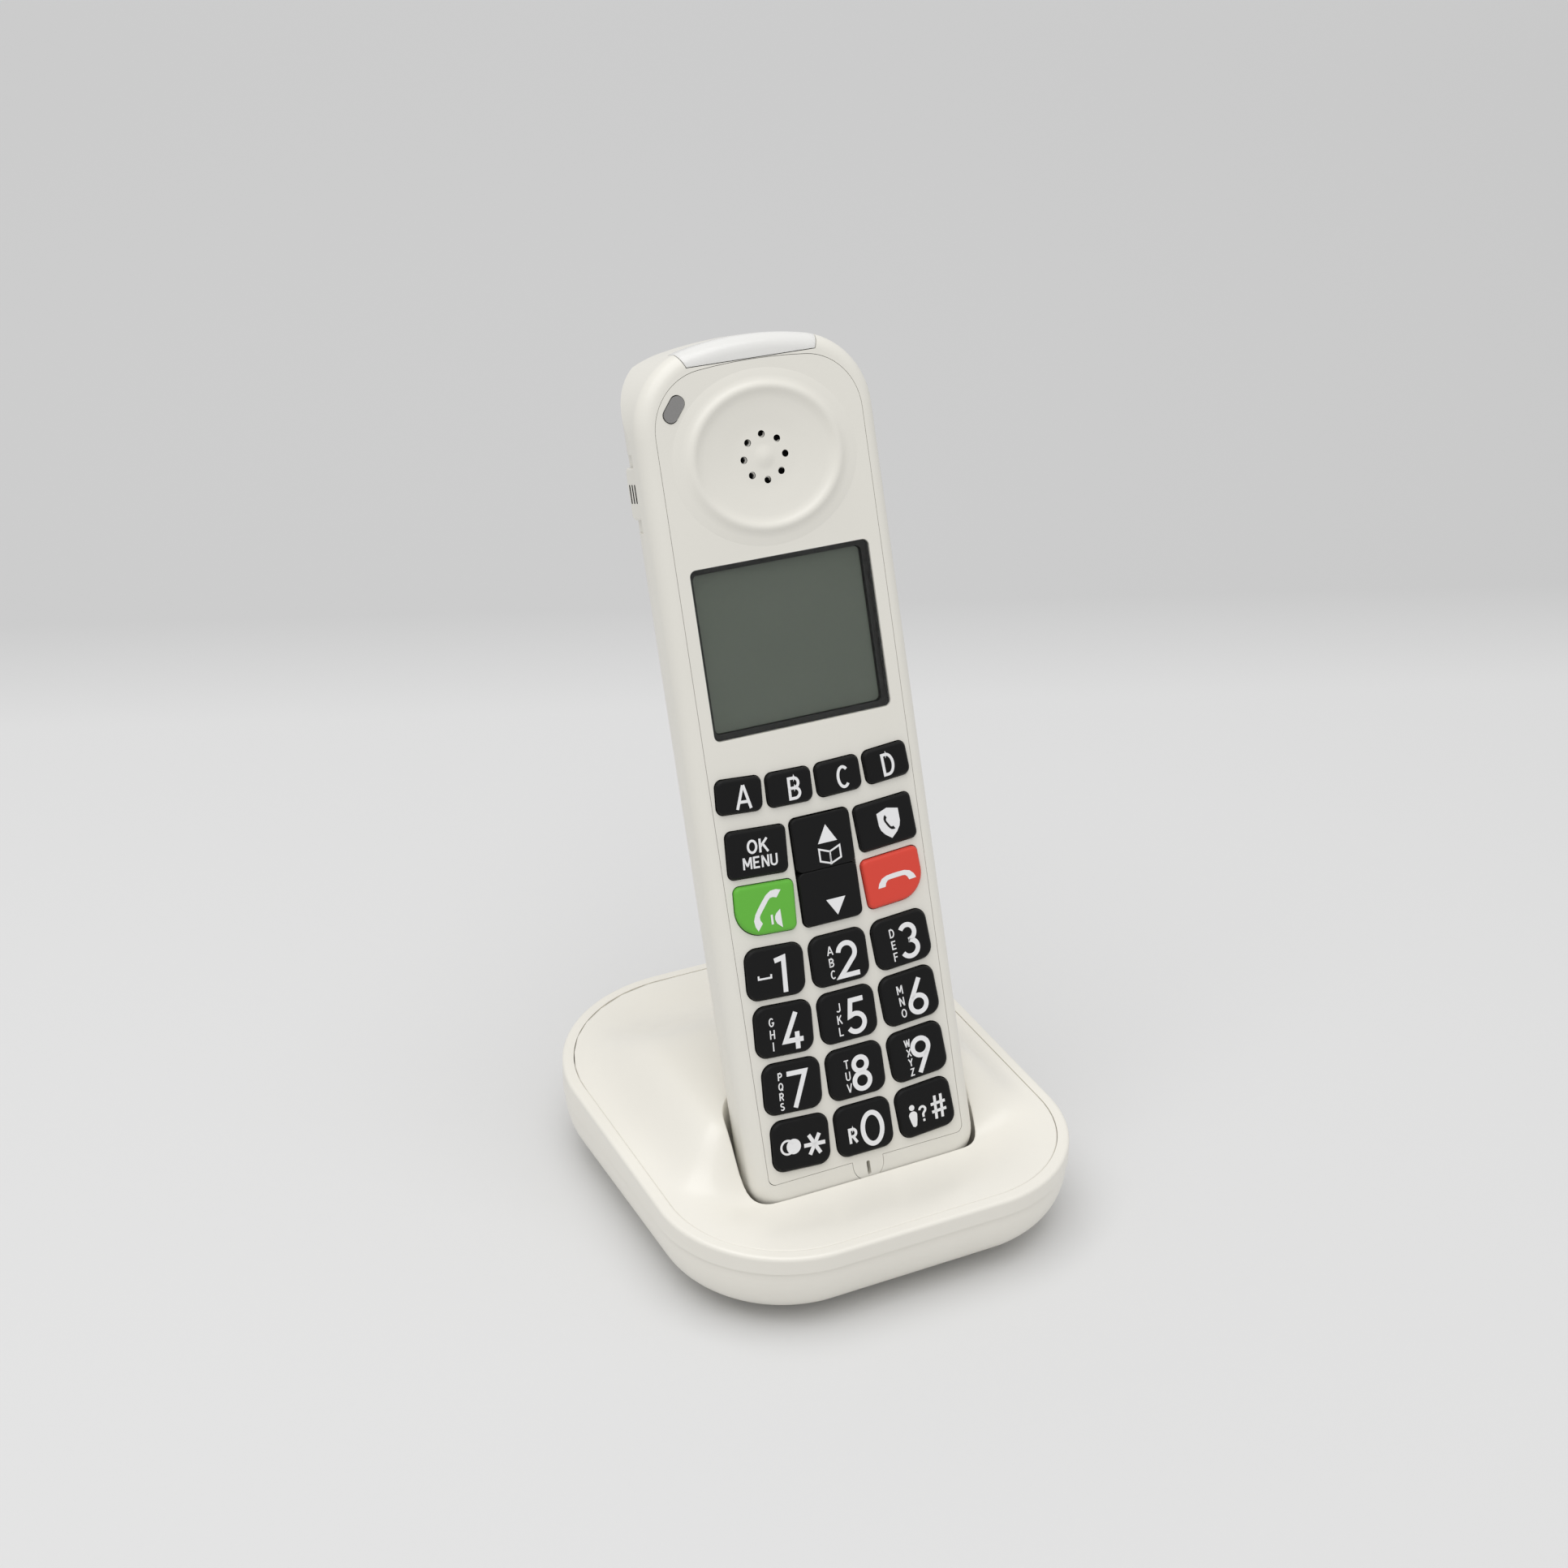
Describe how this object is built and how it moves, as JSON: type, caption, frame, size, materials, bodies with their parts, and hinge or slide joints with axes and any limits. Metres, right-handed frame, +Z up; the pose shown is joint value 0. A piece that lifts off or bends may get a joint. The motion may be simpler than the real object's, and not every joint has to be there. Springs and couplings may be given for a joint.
{
  "type": "cordless telephone with charging cradle",
  "caption": "Big-button cordless telephone handset leaning back in its charging cradle, with screen, earpiece ring, side switch and battery bay",
  "frame": {"origin": "on the table under the middle of the cradle", "axes": "+X to the right seen from the front, +Y to the back, +Z up; the handset faces -Y and leans back 19.5 degrees"},
  "size_m": [0.092, 0.106, 0.1794],
  "materials": {
    "cradle_plastic": "fine satin, warm white",
    "handset_plastic": "fine satin, warm white",
    "key_plastic": "satin black",
    "talk_plastic": "satin green",
    "end_plastic": "satin red",
    "lamp_plastic": "translucent pale grey",
    "window_glass": "clear, gloss",
    "panel_glass": "grey-green liquid crystal, unlit",
    "dark_plastic": "fine matt",
    "mat_rubber": "moulded silicone",
    "foot_rubber": "matt",
    "screw_steel": "bright zinc",
    "contact_metal": "plated",
    "circuit_board": "green resist",
    "cell_wrap": "shrink sleeve"
  },
  "bodies": {
    "cradle": {"cradle_base": "cradle_plastic", "cradle_cover": "cradle_plastic", "cradle_rim": "cradle_plastic", "cradle_feet": "foot_rubber", "cradle_screws": "screw_steel", "charge_board": "circuit_board", "power_socket": "dark_plastic", "charge_spring_left": "screw_steel", "charge_spring_right": "screw_steel"},
    "handset": {"fascia": "handset_plastic", "front_housing": "handset_plastic", "rear_housing": "handset_plastic", "light_bar": "lamp_plastic", "indicator_lens": "lamp_plastic", "display_window": "window_glass", "display_frame": "dark_plastic", "display_panel": "panel_glass", "display_backlight": "lamp_plastic", "keypad_mat": "mat_rubber", "main_board": "circuit_board", "antenna_strip": "contact_metal", "microphone": "screw_steel", "earpiece_speaker": "dark_plastic", "ringer_speaker": "dark_plastic", "battery_cell_left": "cell_wrap", "battery_cell_right": "cell_wrap", "battery_contacts": "screw_steel", "handset_screws": "screw_steel", "charge_plates": "contact_metal"},
    "charge_pin_left": {"charge_pin_left": "contact_metal"},
    "charge_pin_right": {"charge_pin_right": "contact_metal"},
    "battery_door": {"battery_door": "handset_plastic"},
    "tone_switch": {"tone_switch": "handset_plastic"},
    "volume_key": {"volume_key": "handset_plastic"},
    "boost_key": {"boost_key": "handset_plastic"},
    "key_navigation": {"key_navigation": "key_plastic"},
    "key_star": {"key_star": "key_plastic"},
    "key_0": {"key_0": "key_plastic"},
    "key_hash": {"key_hash": "key_plastic"},
    "key_7": {"key_7": "key_plastic"},
    "key_8": {"key_8": "key_plastic"},
    "key_9": {"key_9": "key_plastic"},
    "key_4": {"key_4": "key_plastic"},
    "key_5": {"key_5": "key_plastic"},
    "key_6": {"key_6": "key_plastic"},
    "key_1": {"key_1": "key_plastic"},
    "key_2": {"key_2": "key_plastic"},
    "key_3": {"key_3": "key_plastic"},
    "key_a": {"key_a": "key_plastic"},
    "key_b": {"key_b": "key_plastic"},
    "key_c": {"key_c": "key_plastic"},
    "key_d": {"key_d": "key_plastic"},
    "key_menu": {"key_menu": "key_plastic"},
    "key_shield": {"key_shield": "key_plastic"},
    "key_talk": {"key_talk": "talk_plastic"},
    "key_end": {"key_end": "end_plastic"}
  },
  "joints": [
    {"name": "handset_lift", "type": "slide", "parent": "cradle", "child": "handset", "axis": [0, 0.3338, 0.9426], "range_m": [0, 0.06]},
    {"name": "key_star_press", "type": "slide", "parent": "handset", "child": "key_star", "axis": [0, 0.9426, -0.3338], "range_m": [0, 0.0008], "stiffness_N_per_m": 400},
    {"name": "key_0_press", "type": "slide", "parent": "handset", "child": "key_0", "axis": [0, 0.9426, -0.3338], "range_m": [0, 0.0008], "stiffness_N_per_m": 400},
    {"name": "key_hash_press", "type": "slide", "parent": "handset", "child": "key_hash", "axis": [0, 0.9426, -0.3338], "range_m": [0, 0.0008], "stiffness_N_per_m": 400},
    {"name": "key_7_press", "type": "slide", "parent": "handset", "child": "key_7", "axis": [0, 0.9426, -0.3338], "range_m": [0, 0.0008], "stiffness_N_per_m": 400},
    {"name": "key_8_press", "type": "slide", "parent": "handset", "child": "key_8", "axis": [0, 0.9426, -0.3338], "range_m": [0, 0.0008], "stiffness_N_per_m": 400},
    {"name": "key_9_press", "type": "slide", "parent": "handset", "child": "key_9", "axis": [0, 0.9426, -0.3338], "range_m": [0, 0.0008], "stiffness_N_per_m": 400},
    {"name": "key_4_press", "type": "slide", "parent": "handset", "child": "key_4", "axis": [0, 0.9426, -0.3338], "range_m": [0, 0.0008], "stiffness_N_per_m": 400},
    {"name": "key_5_press", "type": "slide", "parent": "handset", "child": "key_5", "axis": [0, 0.9426, -0.3338], "range_m": [0, 0.0008], "stiffness_N_per_m": 400},
    {"name": "key_6_press", "type": "slide", "parent": "handset", "child": "key_6", "axis": [0, 0.9426, -0.3338], "range_m": [0, 0.0008], "stiffness_N_per_m": 400},
    {"name": "key_1_press", "type": "slide", "parent": "handset", "child": "key_1", "axis": [0, 0.9426, -0.3338], "range_m": [0, 0.0008], "stiffness_N_per_m": 400},
    {"name": "key_2_press", "type": "slide", "parent": "handset", "child": "key_2", "axis": [0, 0.9426, -0.3338], "range_m": [0, 0.0008], "stiffness_N_per_m": 400},
    {"name": "key_3_press", "type": "slide", "parent": "handset", "child": "key_3", "axis": [0, 0.9426, -0.3338], "range_m": [0, 0.0008], "stiffness_N_per_m": 400},
    {"name": "key_a_press", "type": "slide", "parent": "handset", "child": "key_a", "axis": [0, 0.9426, -0.3338], "range_m": [0, 0.0008], "stiffness_N_per_m": 400},
    {"name": "key_b_press", "type": "slide", "parent": "handset", "child": "key_b", "axis": [0, 0.9426, -0.3338], "range_m": [0, 0.0008], "stiffness_N_per_m": 400},
    {"name": "key_c_press", "type": "slide", "parent": "handset", "child": "key_c", "axis": [0, 0.9426, -0.3338], "range_m": [0, 0.0008], "stiffness_N_per_m": 400},
    {"name": "key_d_press", "type": "slide", "parent": "handset", "child": "key_d", "axis": [0, 0.9426, -0.3338], "range_m": [0, 0.0008], "stiffness_N_per_m": 400},
    {"name": "key_menu_press", "type": "slide", "parent": "handset", "child": "key_menu", "axis": [0, 0.9426, -0.3338], "range_m": [0, 0.0008], "stiffness_N_per_m": 400},
    {"name": "key_shield_press", "type": "slide", "parent": "handset", "child": "key_shield", "axis": [0, 0.9426, -0.3338], "range_m": [0, 0.0008], "stiffness_N_per_m": 400},
    {"name": "key_talk_press", "type": "slide", "parent": "handset", "child": "key_talk", "axis": [0, 0.9426, -0.3338], "range_m": [0, 0.0008], "stiffness_N_per_m": 400},
    {"name": "key_end_press", "type": "slide", "parent": "handset", "child": "key_end", "axis": [0, 0.9426, -0.3338], "range_m": [0, 0.0008], "stiffness_N_per_m": 400},
    {"name": "navigation_rock", "type": "hinge", "parent": "handset", "child": "key_navigation", "pos_m": [0, -0.00525, 0.07759], "axis": [1, 0, 0], "range_deg": [-2.5, 2.5], "stiffness_Nm_per_rad": 0.2},
    {"name": "volume_rock", "type": "hinge", "parent": "handset", "child": "volume_key", "pos_m": [0.0247, 0.02486, 0.14553], "axis": [0, -0.9426, 0.3338], "range_deg": [-3, 3], "stiffness_Nm_per_rad": 0.2},
    {"name": "boost_press", "type": "slide", "parent": "handset", "child": "boost_key", "axis": [-1, 0, 0], "range_m": [0, 0.0006], "stiffness_N_per_m": 400},
    {"name": "tone_slide", "type": "slide", "parent": "handset", "child": "tone_switch", "axis": [0, 0.3338, 0.9426], "range_m": [-0.0023, 0.0023]},
    {"name": "battery_door_lift", "type": "slide", "parent": "handset", "child": "battery_door", "axis": [0, 0.9426, -0.3338], "range_m": [0, 0.012]},
    {"name": "charge_pin_left_press", "type": "slide", "parent": "cradle", "child": "charge_pin_left", "axis": [0, 0.3338, 0.9426], "range_m": [-0.0006, 0], "stiffness_N_per_m": 400, "deforming": ["charge_spring_left"]},
    {"name": "charge_pin_right_press", "type": "slide", "parent": "cradle", "child": "charge_pin_right", "axis": [0, 0.3338, 0.9426], "range_m": [-0.0006, 0], "stiffness_N_per_m": 400, "deforming": ["charge_spring_right"]}
  ]
}
